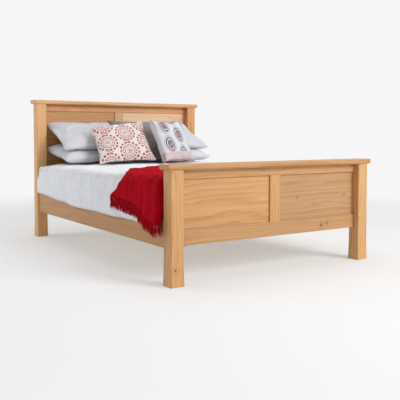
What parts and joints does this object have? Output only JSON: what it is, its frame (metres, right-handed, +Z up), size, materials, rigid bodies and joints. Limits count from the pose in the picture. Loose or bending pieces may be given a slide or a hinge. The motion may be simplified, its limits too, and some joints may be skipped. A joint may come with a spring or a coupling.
{
  "type": "panel bed",
  "caption": "Oak panel bed with a low footboard and tall headboard under overhanging caps, slatted base, mattress, duvet, pillows, scatter cushions and a fringed throw.",
  "frame": {"origin": "on the floor, midway between the four posts", "axes": "+Z up, +Y towards the headboard, +X to the right seen from the foot of the bed"},
  "size_m": [1.5598, 2.085, 1.058],
  "materials": {
    "oak": "clear satin lacquer",
    "beech": "plain",
    "pine": "planed, unfinished",
    "zinc_steel": "bright zinc plated",
    "black_plastic": "moulded",
    "webbing": "woven polyester tape",
    "mattress_ticking": "quilted damask",
    "white_cotton": "plain woven cotton",
    "grey_linen": "plain woven linen",
    "sprig_cotton": "cream cotton printed in crimson",
    "print_cotton": "grey cotton printed in slate and crimson",
    "red_wool": "soft woven, fringed"
  },
  "bodies": {
    "frame": {"foot_post_left": "oak", "foot_post_right": "oak", "foot_cap": "oak", "foot_top_rail": "oak", "foot_bottom_rail": "oak", "foot_muntin": "oak", "foot_panel_left": "oak", "foot_panel_right": "oak", "head_post_left": "oak", "head_post_right": "oak", "head_cap": "oak", "head_top_rail": "oak", "head_bottom_rail": "oak", "head_muntin": "oak", "head_panel_left": "oak", "head_panel_right": "oak", "side_rail_left": "oak", "side_rail_right": "oak", "cap_dowels": "beech", "slat_ledger_left": "pine", "slat_tape_left": "webbing", "slat_ledger_right": "pine", "slat_tape_right": "webbing", "slat_01": "pine", "slat_02": "pine", "slat_03": "pine", "slat_04": "pine", "slat_05": "pine", "slat_06": "pine", "slat_07": "pine", "slat_08": "pine", "slat_09": "pine", "slat_10": "pine", "slat_11": "pine", "slat_12": "pine", "slat_13": "pine", "centre_rail": "pine", "centre_leg_foot": "pine", "centre_rail_shoe_foot": "zinc_steel", "centre_glide_foot": "black_plastic", "centre_leg_head": "pine", "centre_rail_shoe_head": "zinc_steel", "centre_glide_head": "black_plastic", "corner_brackets": "zinc_steel", "bed_bolts": "zinc_steel", "bracket_screws": "zinc_steel", "ledger_screws": "zinc_steel", "slat_screws": "zinc_steel"},
    "mattress": {"mattress": "mattress_ticking"},
    "duvet": {"duvet": "white_cotton"},
    "throw": {"throw": "red_wool", "throw_fringe": "red_wool"},
    "pillow_lower_left": {"pillow_lower_left": "white_cotton"},
    "pillow_lower_right": {"pillow_lower_right": "white_cotton"},
    "pillow_upper_left": {"pillow_upper_left": "white_cotton"},
    "pillow_upper_right": {"pillow_upper_right": "white_cotton"},
    "pillow_grey": {"pillow_grey": "grey_linen"},
    "cushion_sprig": {"cushion_sprig": "sprig_cotton"},
    "cushion_print": {"cushion_print": "print_cotton"}
  },
  "joints": [
    {"name": "mattress_lift", "type": "slide", "parent": "frame", "child": "mattress", "axis": [0, 0, 1], "range_m": [0, 0.12]},
    {"name": "duvet_lift", "type": "slide", "parent": "mattress", "child": "duvet", "axis": [0, 0, 1], "range_m": [0, 0.12]},
    {"name": "throw_lift", "type": "slide", "parent": "duvet", "child": "throw", "axis": [0, 0, 1], "range_m": [0, 0.25]},
    {"name": "pillow_lower_left_lift", "type": "slide", "parent": "duvet", "child": "pillow_lower_left", "axis": [0, -0.7071, 0.7071], "range_m": [0, 0.2]},
    {"name": "pillow_lower_right_lift", "type": "slide", "parent": "pillow_lower_left", "child": "pillow_lower_right", "axis": [0, -0.7071, 0.7071], "range_m": [0, 0.2]},
    {"name": "pillow_upper_left_lift", "type": "slide", "parent": "pillow_lower_right", "child": "pillow_upper_left", "axis": [0, -0.7071, 0.7071], "range_m": [0, 0.2]},
    {"name": "pillow_upper_right_lift", "type": "slide", "parent": "pillow_upper_left", "child": "pillow_upper_right", "axis": [0, -0.7071, 0.7071], "range_m": [0, 0.2]},
    {"name": "pillow_grey_lift", "type": "slide", "parent": "pillow_upper_right", "child": "pillow_grey", "axis": [0, -0.7071, 0.7071], "range_m": [0, 0.2]},
    {"name": "cushion_sprig_lift", "type": "slide", "parent": "pillow_grey", "child": "cushion_sprig", "axis": [0, -0.7071, 0.7071], "range_m": [0, 0.2]},
    {"name": "cushion_print_lift", "type": "slide", "parent": "cushion_sprig", "child": "cushion_print", "axis": [0, -0.7071, 0.7071], "range_m": [0, 0.2]}
  ]
}
